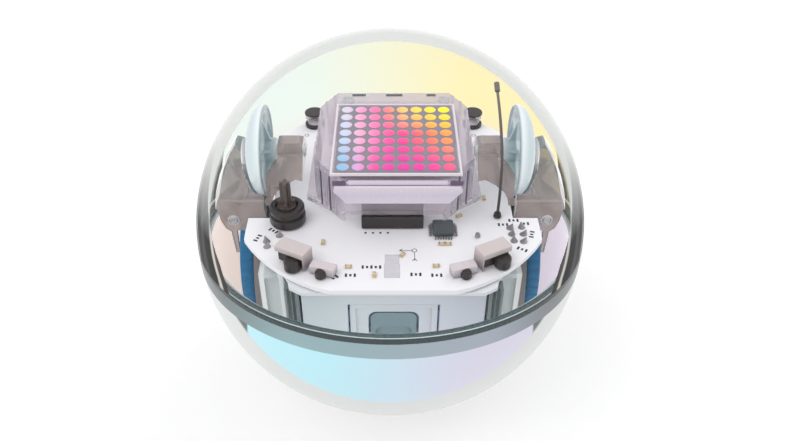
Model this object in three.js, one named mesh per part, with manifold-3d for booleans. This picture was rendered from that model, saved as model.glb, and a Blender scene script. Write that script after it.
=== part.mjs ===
// A clear ball robot for learning to code. A two-wheeled chassis drives inside a closed
// plastic ball; two sprung idler discs press up against the ball's roof and keep the drive
// wheels loaded. Millimetres, +Z up, -Y is the robot's front, origin at the ball's centre.
import * as THREE from "three";
import { mergeVertices } from "three/addons/utils/BufferGeometryUtils.js";
import Module from "manifold-3d";

const wasm = await Module();
wasm.setup();

// ---------------------------------------------------------------- driving dimensions
const BALL_RADIUS = 36.5;
const WALL = 2.4;
const CAVITY_RADIUS = BALL_RADIUS - WALL;
const BALL_SEGMENTS = 40; // facets round the ball's own axis
const BALL_ROWS = 10; // facets from rim to pole
const SHELL_TILT = THREE.MathUtils.degToRad(-8); // seam's front edge stands higher
const SEAM_HALF_GAP = 0.5;
const REST_PATCH_CUT = 0.2; // depth of the small flat under the ball
const FIT = 0.3; // gap kept between pieces that touch

const WHEEL = { z: -6.6, radius: 13.4, rim: 10.9, inner: 24.9, outer: 27.5, axle: 1.4 };
const PCB = { x: 0.5, radius: 29.7, halfX: 25.8, halfY: 27.7, bottom: 7.1, top: 8 };
const NOTCH = { fromX: 21.4, halfY: 9 }; // room for the sprung brackets at both sides of the board
const SEAT = PCB.top + FIT; // height at which board-mounted pieces start
const DECK = { x: 0.5, bottom: 6.1, top: 6.8 };
const DECK_CORNER = [[14.9, 27], [17, 25.7], [17.4, 24], [21.1, 17]]; // one quarter's outline
const GEAR = { module: 0.625, wheelTeeth: 24, pinionTeeth: 8, inner: 18.4, outer: 20.4 };
const MOTOR_OFFSET = (GEAR.module * (GEAR.wheelTeeth + GEAR.pinionTeeth)) / 2;
const PLATE = { inner: 16.2, outer: 17.8 }; // side plates of the main frame
const PIVOT = { x: 28, z: 7.3, pin: 0.65, bore: 0.95 };
const IDLER = { x: 23.1, y: 1, z: 15.8, radius: 8.3, bulge: 3, shaft: 1 };
const TOWER = { x: 0.7, halfX: 14, bottom: 9.6, top: 18.5, wall: 1.2 };
const MATRIX = { x: 1, y: -0.3, halfX: 10.4, halfY: 10.9, bottom: 18.9, top: 19.5, border: 0.4 };

// ---------------------------------------------------------------- materials
const paint = (color, roughness = 0.5, metalness = 0, opacity = 1) =>
  new THREE.MeshStandardMaterial({ color, roughness, metalness, opacity, transparent: opacity < 1 });

const CLEAR_SHELL = paint(0xeef3f4, 0.05, 0, 0.3);
const PEARL_SHELL = paint(0xcfe6ee, 0.35);
const SEAM_SILVER = paint(0xc9d2d4, 0.3);
const SMOKE = paint(0x8d8589, 0.15, 0, 0.6);
const HOUSING = paint(0xd9cfdc, 0.12, 0, 0.55);
const PALE_PLASTIC = paint(0xe6eaee, 0.35);
const SLATE_PLASTIC = paint(0x7d939c, 0.3);
const CHARCOAL = paint(0x3c4246, 0.4);
const BLACK = paint(0x201f22, 0.35);
const BOARD_WHITE = paint(0xf3f2f5, 0.4);
const MATRIX_GREY = paint(0x8d8a93, 0.4);
const SILVER_PLASTIC = paint(0xc6d6d8, 0.3);
const RUBBER_BLUE = paint(0x0065a5, 0.6);
const STEEL = paint(0xb7b9bd, 0.3, 1);
const BRASS = paint(0xc59b4a, 0.35, 1);
const COPPER = paint(0xb8703a, 0.35, 1);
const CELL_BLUE = paint(0x5f7fa8, 0.4);
const FERRITE = paint(0x45464a, 0.7);

// ---------------------------------------------------------------- solids
// Keeps only positions, merges shared vertices, drops the slivers at a lathe's poles and
// turns every face outwards.
function clean(geometry) {
  for (const name of Object.keys(geometry.attributes)) {
    if (name !== "position") geometry.deleteAttribute(name);
  }
  const merged = mergeVertices(geometry, 1e-3);
  const corners = [new THREE.Vector3(), new THREE.Vector3(), new THREE.Vector3()];
  const faces = [];
  let volume = 0;
  for (let i = 0; i < merged.index.count; i += 3) {
    const face = [0, 1, 2].map((k) => merged.index.getX(i + k));
    if (new Set(face).size < 3) continue;
    faces.push(face);
    const [a, b, c] = corners.map((v, k) => v.fromBufferAttribute(merged.attributes.position, face[k]));
    volume += a.dot(b.cross(c));
  }
  const outward = volume < 0 ? faces.map(([a, b, c]) => [a, c, b]) : faces;
  merged.setIndex(outward.flat());
  return merged;
}

function solid(geometry) {
  const { attributes, index } = clean(geometry);
  return new wasm.Manifold(
    new wasm.Mesh({
      numProp: 3,
      vertProperties: new Float32Array(attributes.position.array),
      triVerts: new Uint32Array(index.array),
    }),
  );
}

function surface(manifold) {
  const mesh = manifold.getMesh();
  const geometry = new THREE.BufferGeometry();
  geometry.setAttribute("position", new THREE.BufferAttribute(new Float32Array(mesh.vertProperties), 3));
  geometry.setIndex([...mesh.triVerts]);
  return geometry;
}

const join = (...pieces) => surface(pieces.map(solid).reduce((whole, piece) => whole.add(piece)));
const cut = (base, ...tools) =>
  surface(tools.map(solid).reduce((rest, tool) => rest.subtract(tool), solid(base)));
const common = (first, ...others) =>
  surface(others.map(solid).reduce((rest, other) => rest.intersect(other), solid(first)));

const move = (geometry, x, y, z) => geometry.translate(x, y, z);
const mirrorX = (geometry) => geometry.clone().scale(-1, 1, 1);
const mirrorY = (geometry) => geometry.clone().scale(1, -1, 1);

// A box between two corners.
function block(x0, x1, y0, y1, z0, z1) {
  const box = new THREE.BoxGeometry(x1 - x0, y1 - y0, z1 - z0);
  return move(box, (x0 + x1) / 2, (y0 + y1) / 2, (z0 + z1) / 2);
}

const outline = (points) => new THREE.Shape(points.map(([a, b]) => new THREE.Vector2(a, b)));

function extrude(points, depth) {
  return new THREE.ExtrudeGeometry(outline(points), { depth, bevelEnabled: false, steps: 1 });
}

// Prisms of an outline: in plan, seen from the front (x, z), and seen from the side (y, z).
const prismZ = (points, z0, z1) => move(extrude(points, z1 - z0), 0, 0, z0);
const prismY = (points, y0, y1) => move(extrude(points, y1 - y0).rotateX(Math.PI / 2), 0, y1, 0);
const prismX = (points, x0, x1) =>
  move(extrude(points, x1 - x0).rotateX(Math.PI / 2).rotateZ(Math.PI / 2), x0, 0, 0);

// Turned pieces; a profile is a list of [radius, height].
const lathe = (profile, segments) =>
  new THREE.LatheGeometry(profile.map(([r, h]) => new THREE.Vector2(r, h)), segments);
const latheZ = (profile, segments = 24) => lathe(profile, segments).rotateX(Math.PI / 2);
const latheX = (profile, segments = 24) => lathe(profile, segments).rotateZ(-Math.PI / 2);
const latheY = (profile, segments = 24) => lathe(profile, segments);

const rod = (radius, from, to) => [[0, from], [radius, from], [radius, to], [0, to]];
const ring = (inner, outer, from, to) => [
  [inner, from], [outer, from], [outer, to], [inner, to], [inner, from],
];

function rounded(halfX, halfY, radius, steps = 4) {
  const points = [];
  [[1, 1, 0], [-1, 1, 1], [-1, -1, 2], [1, -1, 3]].forEach(([sx, sy, quarter]) => {
    for (let i = 0; i <= steps; i++) {
      const angle = ((quarter + i / steps) * Math.PI) / 2;
      points.push([
        sx * (halfX - radius) + radius * Math.cos(angle),
        sy * (halfY - radius) + radius * Math.sin(angle),
      ]);
    }
  });
  return points;
}

// A bent wire of round section along a smooth path.
function wire(path, radius, sides, steps) {
  const section = new THREE.Shape();
  section.absarc(0, 0, radius, 0, 2 * Math.PI);
  return new THREE.ExtrudeGeometry(section, { extrudePath: path, steps, curveSegments: sides });
}

// A spur gear's outline, with one tooth centred on the angle `phase`.
function gearOutline(teeth, phase) {
  const pitch = (2 * Math.PI) / teeth;
  const root = GEAR.module * (teeth / 2 - 1.25);
  const tip = GEAR.module * (teeth / 2 + 0.9);
  const flank = [[root, -0.27], [tip, -0.12], [tip, 0.12], [root, 0.27]];
  const points = [];
  for (let tooth = 0; tooth < teeth; tooth++) {
    for (const [radius, share] of flank) {
      const angle = phase + (tooth + share) * pitch;
      points.push([radius * Math.cos(angle), radius * Math.sin(angle)]);
    }
  }
  return points;
}

// ---------------------------------------------------------------- the ball
function hemisphere() {
  const arc = (radius, up) => {
    const start = Math.asin(SEAM_HALF_GAP / radius);
    return Array.from({ length: BALL_ROWS + 1 }, (_, i) => {
      const share = up ? i / BALL_ROWS : 1 - i / BALL_ROWS;
      const angle = start + share * (Math.PI / 2 - start);
      return [share === 1 ? 0 : radius * Math.cos(angle), radius * Math.sin(angle)];
    });
  };
  return latheZ([...arc(BALL_RADIUS, false), ...arc(CAVITY_RADIUS, true)], BALL_SEGMENTS);
}

function lowerShell() {
  const bowl = hemisphere().scale(1, 1, -1).rotateX(SHELL_TILT);
  const restPlane = -BALL_RADIUS + REST_PATCH_CUT;
  const below = block(-BALL_RADIUS, BALL_RADIUS, -BALL_RADIUS, BALL_RADIUS, -2 * BALL_RADIUS, restPlane);
  return cut(bowl, below);
}

function seamRing() {
  const half = SEAM_HALF_GAP - FIT;
  const section = ring(CAVITY_RADIUS + FIT, BALL_RADIUS - 0.1, -half, half);
  return latheZ(section, BALL_SEGMENTS).rotateX(SHELL_TILT);
}

// ---------------------------------------------------------------- chassis
function mainFrame() {
  const side = [[-20, 5.8], [-20, -10], [-14, -17.5], [14, -17.5], [20, -10], [20, 5.8]];
  const plate = prismX(side, PLATE.inner, PLATE.outer);
  const floor = block(-PLATE.inner - 0.5, PLATE.inner + 0.5, -14, 14, -17.5, -16);
  const bore = (radius, y) => move(latheX(rod(radius, -20, 20)), 0, y, WHEEL.z);
  return cut(
    join(plate, mirrorX(plate), floor),
    bore(3.1, 0),
    bore(1.3, MOTOR_OFFSET),
    bore(1.3, -MOTOR_OFFSET),
  );
}

function deck() {
  const right = [...DECK_CORNER, ...DECK_CORNER.map(([x, y]) => [x, -y]).reverse()];
  const left = right.map(([x, y]) => [-x, y]).reverse();
  return move(prismZ([...right, ...left], DECK.bottom, DECK.top), DECK.x, 0, 0);
}

const END_WALL = { x: 0.6, halfX: 15.4, footX: 9, inner: 23.9, outer: 25.2, top: 5.8, waist: -12, low: -18 };

function endWall() {
  const { halfX, footX, top, waist, low, inner, outer } = END_WALL;
  const right = [[halfX, top], [halfX, waist], [footX, low]];
  const left = right.map(([x, z]) => [-x, z]).reverse();
  return move(prismY([...right, ...left], -outer, -inner), END_WALL.x, 0, 0);
}

const WINDOW = { halfX: 7.7, top: 2.3, bottom: -14 };
const POCKET_Z = -6.6;
const inWindow = (points) => points.map(([x, z]) => [x + END_WALL.x, z + POCKET_Z]);

function frontCover() {
  const window = block(-WINDOW.halfX, WINDOW.halfX, -26, -23, WINDOW.bottom, WINDOW.top);
  return cut(endWall(), move(window, END_WALL.x, 0, 0));
}

function frontBezel() {
  const opening = inWindow(rounded(4.3, 6.4, 1.5));
  const half = WINDOW.halfX - FIT;
  const frame = block(-half, half, -24.8, -22.6, WINDOW.bottom + FIT, WINDOW.top - FIT);
  const field = block(-half + 1, half - 1, -25, -24.3, WINDOW.bottom - 1, WINDOW.top - 1.2);
  return cut(move(cut(frame, field), END_WALL.x, 0, 0), prismY(opening, -26, -22));
}

function frontPocket() {
  const body = inWindow(rounded(3.95, 6.05, 1.3));
  const dish = inWindow(rounded(3.1, 3.3, 1).map(([x, z]) => [x, z - 0.6]));
  return cut(prismY(body, -24.2, -20.6), prismY(dish, -25, -23.4));
}

// A ribbed corner column beside the end wall, on the robot's right.
function column() {
  const ribs = [
    [15.7, -22.9], [15.7, -25.2], [16.3, -25.4], [16.6, -24.8], [16.9, -25.5],
    [17.3, -24.8], [17.7, -25.4], [18.1, -25.1], [18.1, -22.9],
  ];
  return prismZ(ribs, END_WALL.waist, END_WALL.top);
}

// Clear motor housing with a dark-edged wheel guard, front and back, tied by a top rail.
function sideHousing() {
  const front = block(18.2, 22.6, -19.6, -15.7, -12, 4.2);
  const recess = block(19.1, 21.7, -20, -18.8, -11, 3.2);
  const arc = (radius, from, to) =>
    Array.from({ length: 9 }, (_, i) => {
      const angle = THREE.MathUtils.degToRad(from + ((to - from) * i) / 8);
      return [radius * Math.cos(angle), WHEEL.z + radius * Math.sin(angle)];
    });
  const crescent = [...arc(WHEEL.radius + 0.9, 144, 212), ...arc(WHEEL.radius + 3.4, 212, 144)];
  const guard = prismX(crescent, 22.4, 24.3);
  const half = cut(join(front, guard), recess);
  const rail = block(21, 22.6, -16, 16, 1.8, 2.6);
  return join(half, mirrorY(half), rail);
}

function motor() {
  const can = [[0, 1.5], [4.3, 1.5], [4.5, 1.9], [4.5, 14.3], [4.1, 14.7]];
  const nose = [[1.6, 14.7], [1.6, 15.5], [0, 15.5]];
  return latheX([...can, ...nose]);
}

function motorPinion() {
  const shaft = latheX(rod(0.6, 15.8, 21), 12);
  const teeth = gearOutline(GEAR.pinionTeeth, Math.PI / GEAR.pinionTeeth);
  return join(shaft, prismX(teeth, GEAR.inner, GEAR.outer));
}

function axle() {
  const shaft = latheX(rod(WHEEL.axle, 11, 27.6), 16);
  const teeth = gearOutline(GEAR.wheelTeeth, 0);
  return join(shaft, prismX(teeth, GEAR.inner, GEAR.outer));
}

function wheelHub() {
  const bore = WHEEL.axle + FIT;
  const profile = [
    [bore, 23.7], [3.4, 23.7], [3.4, 25.3], [9.8, 25.3], [9.8, WHEEL.inner], [WHEEL.rim, WHEEL.inner],
    [WHEEL.rim, 27.2], [9.8, 27.2], [9.8, 26.3], [3.4, 26.3], [3.4, 27.2], [bore, 27.2], [bore, 23.7],
  ];
  const holes = Array.from({ length: 6 }, (_, i) => {
    const angle = (i * Math.PI) / 3;
    return move(latheX(rod(1.8, 24, 28), 12), 0, 6.6 * Math.cos(angle), 6.6 * Math.sin(angle));
  });
  return cut(latheX(profile, 28), ...holes);
}

function tyre() {
  const { radius, inner, outer } = WHEEL;
  const bead = WHEEL.rim + FIT;
  const profile = [
    [bead, inner], [radius - 0.6, inner], [radius, inner + 0.6], [radius, outer - 0.6],
    [radius - 0.6, outer], [bead, outer], [bead, inner],
  ];
  return latheX(profile, 32);
}

// ---------------------------------------------------------------- sprung idlers
// Carrier: a bridge under the deck's edge and two ears, over the tyre, that hold the pivot pin.
const EAR = { inner: 7.9, outer: 8.7, frontTop: 11.3, rearTop: 9 };

// Each ear reaches over the tyre and has a finger down beside it; the front one is taller.
function hingeCarrier() {
  const ear = (top) => [
    [20.3, 3.6], [22.4, 3.6], [23.6, 4.9], [27.4, 4.9], [27.8, 4.6], [27.8, -0.4], [28.5, -0.4],
    [28.8, 4.6], [29.7, 5.3], [30.4, 7.2], [30.6, 9], [30.4, top], [22.4, top], [22, 5], [20.3, 5],
  ];
  const front = prismY(ear(EAR.frontTop), -EAR.outer, -EAR.inner);
  const rear = prismY(ear(EAR.rearTop), EAR.inner, EAR.outer);
  const bridge = block(20.3, 21.6, -EAR.outer, EAR.outer, 3.6, 5);
  const bore = move(latheY(rod(PIVOT.bore, -10, 10), 16), PIVOT.x, 0, PIVOT.z);
  return cut(join(front, rear, bridge), bore);
}

function pivotPin() {
  return move(latheY(rod(PIVOT.pin, -EAR.outer - FIT, EAR.outer + FIT), 16), PIVOT.x, 0, PIVOT.z);
}

// The spring sits beside the front lobe, clear of the tyre's crown.
const SPRING = { turns: 3, radius: 1.1, wire: 0.13, from: -6.1, length: 2.8 };

class SpringPath extends THREE.Curve {
  getPoint(t) {
    const angle = 2 * Math.PI * SPRING.turns * t;
    return new THREE.Vector3(
      PIVOT.x + SPRING.radius * Math.cos(angle),
      SPRING.from + SPRING.length * t,
      PIVOT.z + SPRING.radius * Math.sin(angle),
    );
  }
}

const armSpring = () => wire(new SpringPath(), SPRING.wire, 3, 36);

// Arm: a gabled body with a slot for the disc, an inner bearing block, an outer guard that
// follows the ball's wall, and two lobes on the pin.
const LOBE = { inner: 6.4, outer: 7.6 };
const ARM_REACH = 33.5;
const SLOT = { inner: 22.1, radius: IDLER.radius + 0.7, bulge: IDLER.bulge + 0.8 };

function discSlot() {
  const rows = 8;
  const dome = Array.from({ length: rows + 1 }, (_, i) => {
    const angle = (i * Math.PI) / (2 * rows);
    return [i === rows ? 0 : SLOT.radius * Math.cos(angle), IDLER.x + SLOT.bulge * Math.sin(angle)];
  });
  const hub = [[0, 20.2], [3.2, 20.2], [3.4, 20.7], [5.8, SLOT.inner]];
  return move(latheX([...hub, [SLOT.radius, SLOT.inner], ...dome], 32), 0, IDLER.y, IDLER.z);
}

function idlerArm() {
  const gable = [
    [-7.6, 5], [-7.6, 11.9], [-1.8, 16.9], [-1.8, 19.1], [0.9, 19.1], [3.6, 17], [7.6, 11.9], [7.6, 5],
  ];
  const bearing = [
    [21.3, 8.8], [22.1, 8.8], [22.1, 14.6], [20.1, 16.3], [20.1, 18.5], [19.4, 19.1], [16.4, 19.1],
    [15.6, 18.4], [15.6, 13.6], [16.8, 13.8], [18.8, 13.1], [20.2, 11.9], [21, 10.4],
  ];
  const guard = [[22.4, 8.8], [31.6, 8.8], [31.6, 12], [28.7, 18.9], [27.2, 18.9], [25, 12], [22.4, 12]];
  const lobe = [
    [22.4, 7], [25, 6], [27.4, 5.6], [27.9, 5.1], [28.8, 5.1], [29.8, 6], [30.8, 8.4], [30.8, 9],
    [22.4, 9],
  ];
  const whole = join(
    prismY(bearing, -LOBE.inner, LOBE.inner),
    prismY(guard, -LOBE.outer, LOBE.outer),
    block(22, 22.6, -LOBE.inner, LOBE.inner, 8.8, 10),
    prismY(lobe, -LOBE.outer, -LOBE.inner),
    prismY(lobe, LOBE.inner, LOBE.outer),
  );
  const shaftBore = latheX(rod(IDLER.shaft + FIT, 15, 22), 16);
  return cut(
    common(whole, prismX(gable, 15, 32), new THREE.SphereGeometry(ARM_REACH, 40, 24)),
    discSlot(),
    move(shaftBore, 0, IDLER.y, IDLER.z),
    block(16.8, 19.1, -0.8, 7, 14.6, 18.2),
    move(latheY(rod(PIVOT.bore, -8, 8), 16), PIVOT.x, 0, PIVOT.z),
  );
}

function idlerWheel() {
  const { x, radius, bulge, shaft } = IDLER;
  const rows = 6;
  const dome = Array.from({ length: rows + 1 }, (_, i) => {
    const angle = (i * Math.PI) / (2 * rows);
    return [i === rows ? 0 : radius * Math.cos(angle), x + bulge * Math.sin(angle)];
  });
  const profile = [
    [0, 15.3], [shaft, 15.3], [shaft, 20.5], [2.4, 20.5], [2.4, 24.1],
    [6.8, 23.5], [7.5, 22.4], [radius, 22.5], ...dome,
  ];
  const gusset = prismY([[20.8, 1.8], [21.4, 2.6], [22.7, 6.6], [23.8, 6.8], [24.6, 1.8]], -0.35, 0.35);
  const gussets = Array.from({ length: 6 }, (_, i) => gusset.clone().rotateX((i * Math.PI) / 3));
  return join(latheX(profile, 24), ...gussets);
}

// ---------------------------------------------------------------- power and ballast
const battery = () => prismZ(rounded(14.5, 12.5, 2), -15.7, -11.4);
const counterweight = () => prismZ(rounded(13, 14, 5), -24.3, -17.8);
const coilFerrite = () => latheZ(rod(15.5, -25.6, -24.6), 28);
const chargingCoil = () => latheZ(ring(6, 14.6, -27.4, -25.9), 28);

// ---------------------------------------------------------------- main board
function mainBoard() {
  const steps = 72;
  const edge = Array.from({ length: steps }, (_, i) => {
    const angle = (2 * Math.PI * i) / steps;
    return [
      THREE.MathUtils.clamp(PCB.radius * Math.cos(angle), -PCB.halfX, PCB.halfX),
      THREE.MathUtils.clamp(PCB.radius * Math.sin(angle), -PCB.halfY, PCB.halfY),
    ];
  });
  const notch = block(NOTCH.fromX, PCB.radius, -NOTCH.halfY, NOTCH.halfY, PCB.bottom - 1, PCB.top + 1);
  const board = cut(prismZ(edge, PCB.bottom, PCB.top), notch, mirrorX(notch));
  return move(board, PCB.x, 0, 0);
}

const headerConnector = () => block(-5, 5.8, -12.3, -8.3, SEAT, 10.8);
const controllerChip = () => move(prismZ(rounded(1.8, 1.8, 0.2, 1), SEAT, SEAT + 0.9), 9.2, -12.7, 0);

function frontLed() {
  const front = block(-1.3, 1.3, -25.1, -22.9, SEAT, SEAT + 1.1);
  const back = block(-1.2, 1.2, -23, -21, SEAT, SEAT + 1.5);
  return move(join(front, back), 0.3, 0, 0);
}

// Light sensors stand along the board's front curve, turned outwards.
const BIG_SENSOR = { x: 16.5, y: -20.9, turn: THREE.MathUtils.degToRad(28) };
const SMALL_SENSOR = { x: 11.4, y: -23.6, turn: THREE.MathUtils.degToRad(18) };
const standAt = ({ x, y, turn }, geometry) => move(geometry.rotateZ(turn), x, y, 0);

// The eye stands at eyeX along the body: the two sensors aren't mirror images.
function irBody(eyeX) {
  const eye = latheZ([[0, SEAT], [1.4, SEAT], [1.4, SEAT + 1.6], [1.15, SEAT + 1.9], [0, SEAT + 1.9]], 20);
  const body = block(-2.3, 2.5, -0.8, 1.3, SEAT, SEAT + 1.9);
  return standAt(BIG_SENSOR, join(body, move(eye, eyeX, -1.6, 0)));
}

// Folded screening can: a lid over the sensor and one side wall down to the board.
function irShield() {
  const lid = block(-2.9, 2.7, -1.4, 1.4, SEAT + 2.2, SEAT + 3.3);
  return standAt(BIG_SENSOR, join(lid, block(-2.9, -2.6, -1.4, 1.4, SEAT, SEAT + 2.4)));
}

function proximitySensor() {
  const eye = latheZ([[0, SEAT], [0.85, SEAT], [0.85, SEAT + 0.9], [0, SEAT + 1.2]], 14);
  const body = block(-2.1, 2.1, -0.9, 0.9, SEAT, SEAT + 1.5);
  return standAt(SMALL_SENSOR, join(body, move(eye, 0.1, -1.1, 0)));
}

const DAMPER = { x: -18.1, y: -9.8 };

function damperGrommet() {
  const profile = [
    [0, SEAT], [3.2, SEAT], [3.2, 9.8], [2.7, 10], [2.7, 10.3], [3.1, 10.5], [3.1, 11.3],
    [2.7, 11.6], [2, 11.6], [2, 10.9], [0, 10.9],
  ];
  return move(latheZ(profile), DAMPER.x, DAMPER.y, 0);
}

// A four-bladed stem stands in the grommet's cup.
function damperStem() {
  const foot = latheZ(rod(1.6, 11.2, 11.7), 16);
  const blade = join(block(-1.5, 1.5, -0.3, 0.3, 11.6, 12.7), block(-0.95, 0.95, -0.3, 0.3, 12.6, 16.4));
  return move(join(foot, blade, blade.clone().rotateZ(Math.PI / 2)), DAMPER.x, DAMPER.y, 0);
}

const POST = { x: 16.5, y: 22.6 };

function rearPost() {
  const profile = [[0, SEAT], [1.5, SEAT], [1.5, 9.9], [1.9, 10], [1.9, 10.7], [1.5, 10.9], [0, 10.9]];
  return move(latheZ(profile, 18), POST.x, POST.y, 0);
}

// The whip aerial leans back as it rises.
const AERIAL = [
  [19.1, -8.8, SEAT], [19.3, -7.8, 13.4], [19.5, -5.6, 17.3],
  [19.5, -2.4, 20.5], [19.4, 1.2, 23.1], [19.2, 5, 25.4],
];
const aerialPath = () => new THREE.CatmullRomCurve3(AERIAL.map((point) => new THREE.Vector3(...point)));

function antennaWire() {
  const [x, y] = AERIAL[0];
  const foot = latheZ([[0, SEAT], [0.75, SEAT], [0.6, SEAT + 0.7], [0, SEAT + 0.7]], 10);
  return join(wire(aerialPath(), 0.26, 4, 16), move(foot, x, y, 0));
}

function antennaSleeve() {
  const end = new THREE.Vector3(...AERIAL.at(-1));
  const along = aerialPath().getTangent(1);
  const from = end.clone().addScaledVector(along, FIT);
  const to = from.clone().addScaledVector(along, 1.8);
  return wire(new THREE.LineCurve3(from, to), 0.5, 5, 1);
}

// ---------------------------------------------------------------- light matrix tower
// Half outlines in plan, on the +X side, from nose to tail.
const TOWER_INNER_X = TOWER.halfX - TOWER.wall;
const TOWER_WALL = [[9, -11.8], [TOWER.halfX, -5.4], [TOWER.halfX, 12], [10.9, 17.4]];
const TOWER_INSIDE = [[8.5, -10.6], [TOWER_INNER_X, -4.9], [TOWER_INNER_X, 11.5], [10.4, 16.2]];
const TOWER_FLANGE = [[8.6, -10.9], [15.7, -5.7], [15.7, 12.7], [11.6, 19]];
const bothHalves = (half) => [...half, ...half.map(([x, y]) => [-x, y]).reverse()];

function towerHousing() {
  const { x, bottom, top, wall, halfX } = TOWER;
  const leg = (y) => block(TOWER_INNER_X, halfX, y, y + 2, SEAT, bottom + 0.1);
  const tab = block(8, 10.4, -12.1, -11, 16.9, top);
  const added = [leg(-3), leg(8), tab];
  const shell = cut(
    join(
      prismZ(bothHalves(TOWER_WALL), bottom, top),
      prismZ(bothHalves(TOWER_FLANGE), bottom, bottom + 0.6),
      ...added,
      ...added.map(mirrorX),
    ),
    prismZ(bothHalves(TOWER_INSIDE), bottom - 2, top - wall),
    block(-8.5, 8.5, -14, -8, bottom - 1, 10.9),
  );
  return move(shell, x, 0, 0);
}

function frontPanel() {
  const face = [[-10.6, 17.6], [10.6, 17.6], [10.9, 16.7], [8.7, 14.2], [-8.7, 14.2], [-10.9, 16.7]];
  return move(prismY(face, -13, -12.4), MATRIX.x + 0.3, 0, 0);
}

function ledPanel() {
  const { x, y, halfX, halfY, bottom, top } = MATRIX;
  return block(x - halfX, x + halfX, y - halfY, y + halfY, bottom, top);
}

function matrixBezel() {
  const { halfX, halfY, border } = MATRIX;
  const [inX, inY] = [halfX + FIT, halfY + FIT];
  const [outX, outY] = [inX + border, inY + border];
  const frame = cut(block(-outX, outX, -outY, outY, 19.1, 19.6), block(-inX, inX, -inY, inY, 18, 20));
  return move(frame, MATRIX.x, MATRIX.y, 0);
}

// ---------------------------------------------------------------- assembly
const robot = new THREE.Group();

function place(name, geometry, material, y = 0, z = 0) {
  const mesh = new THREE.Mesh(clean(geometry), material);
  mesh.name = name;
  mesh.position.set(0, y, z);
  robot.add(mesh);
}

// Places the piece on the robot's right (+X) and its mirror image on the left.
function placePair(name, geometry, material, y = 0, z = 0, leftY = y) {
  place(`${name}_right`, geometry, material, y, z);
  place(`${name}_left`, mirrorX(geometry), material, leftY, z);
}

// Places the piece and a mirror image (of itself or of its twin) to the right and left of x = middle.
function placeAbout(middle, name, geometry, material, twin = geometry) {
  const mirrored = mirrorX(twin);
  place(`${name}_right`, move(geometry, middle, 0, 0), material);
  place(`${name}_left`, move(mirrored, middle, 0, 0), material);
}

place("shell_upper", hemisphere().rotateX(SHELL_TILT), CLEAR_SHELL);
place("shell_lower", lowerShell(), PEARL_SHELL);
place("seam_ring", seamRing(), SEAM_SILVER);

place("main_frame", mainFrame(), PALE_PLASTIC);
place("chassis_deck", deck(), PALE_PLASTIC);
place("front_cover", frontCover(), PALE_PLASTIC);
place("rear_cover", mirrorY(endWall()), PALE_PLASTIC);
place("front_bezel", frontBezel(), PALE_PLASTIC);
place("front_pocket", frontPocket(), SLATE_PLASTIC);
placeAbout(END_WALL.x, "front_column", column(), CHARCOAL);
placePair("side_housing", sideHousing(), HOUSING);

place("battery", battery(), CELL_BLUE);
place("counterweight", counterweight(), STEEL);
place("coil_ferrite", coilFerrite(), FERRITE);
place("charging_coil", chargingCoil(), COPPER);
placePair("motor", motor(), STEEL, -MOTOR_OFFSET, WHEEL.z, MOTOR_OFFSET);
placePair("motor_pinion", motorPinion(), BRASS, -MOTOR_OFFSET, WHEEL.z, MOTOR_OFFSET);
placePair("axle_bush", latheX(ring(WHEEL.axle + FIT, 2.8, 16, 18), 20), BRASS, 0, WHEEL.z);
placePair("wheel_axle", axle(), STEEL, 0, WHEEL.z);
placePair("wheel_hub", wheelHub(), CHARCOAL, 0, WHEEL.z);
placePair("tyre", tyre(), RUBBER_BLUE, 0, WHEEL.z);

place("main_board", mainBoard(), BOARD_WHITE);
place("header_connector", headerConnector(), BLACK);
place("controller_chip", controllerChip(), CHARCOAL);
place("front_led", frontLed(), HOUSING);
placeAbout(PCB.x, "ir_body", irBody(0.9), BLACK, irBody(-0.8));
placeAbout(PCB.x, "ir_shield", irShield(), STEEL);
placeAbout(PCB.x, "proximity_sensor", proximitySensor(), PALE_PLASTIC);
place("damper_grommet", damperGrommet(), BLACK);
place("damper_stem", damperStem(), CHARCOAL);
placeAbout(TOWER.x, "rear_post", rearPost(), HOUSING);
place("antenna_wire", antennaWire(), BLACK);
place("antenna_sleeve", antennaSleeve(), BLACK);

place("tower_housing", towerHousing(), HOUSING);
place("front_panel", frontPanel(), PALE_PLASTIC);
place("led_panel", ledPanel(), MATRIX_GREY);
place("matrix_bezel", matrixBezel(), BOARD_WHITE);

placePair("hinge_carrier", hingeCarrier(), SMOKE);
placePair("arm_pin", pivotPin(), STEEL);
placePair("arm_spring", armSpring(), STEEL);
placePair("idler_arm", idlerArm(), SMOKE);
placePair("idler_wheel", idlerWheel(), SILVER_PLASTIC, IDLER.y, IDLER.z);

export default robot;
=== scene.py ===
import math

import bmesh
import bpy
from mathutils import Matrix, Vector


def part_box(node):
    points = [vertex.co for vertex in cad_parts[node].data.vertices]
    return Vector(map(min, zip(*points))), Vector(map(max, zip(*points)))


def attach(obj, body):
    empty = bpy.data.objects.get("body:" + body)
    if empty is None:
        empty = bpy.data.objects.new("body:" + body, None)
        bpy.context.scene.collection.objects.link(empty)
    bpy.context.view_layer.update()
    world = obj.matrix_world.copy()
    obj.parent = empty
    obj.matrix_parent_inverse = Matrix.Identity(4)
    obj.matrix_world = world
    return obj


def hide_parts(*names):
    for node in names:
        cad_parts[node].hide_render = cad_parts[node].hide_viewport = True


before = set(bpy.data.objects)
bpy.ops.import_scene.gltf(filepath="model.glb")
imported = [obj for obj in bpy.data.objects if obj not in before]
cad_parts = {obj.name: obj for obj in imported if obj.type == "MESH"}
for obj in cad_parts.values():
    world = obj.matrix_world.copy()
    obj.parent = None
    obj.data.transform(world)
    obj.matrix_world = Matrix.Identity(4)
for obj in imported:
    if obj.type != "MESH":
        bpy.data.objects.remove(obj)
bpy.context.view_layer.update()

MM = 0.001  # lengths below are in millimetres

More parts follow.
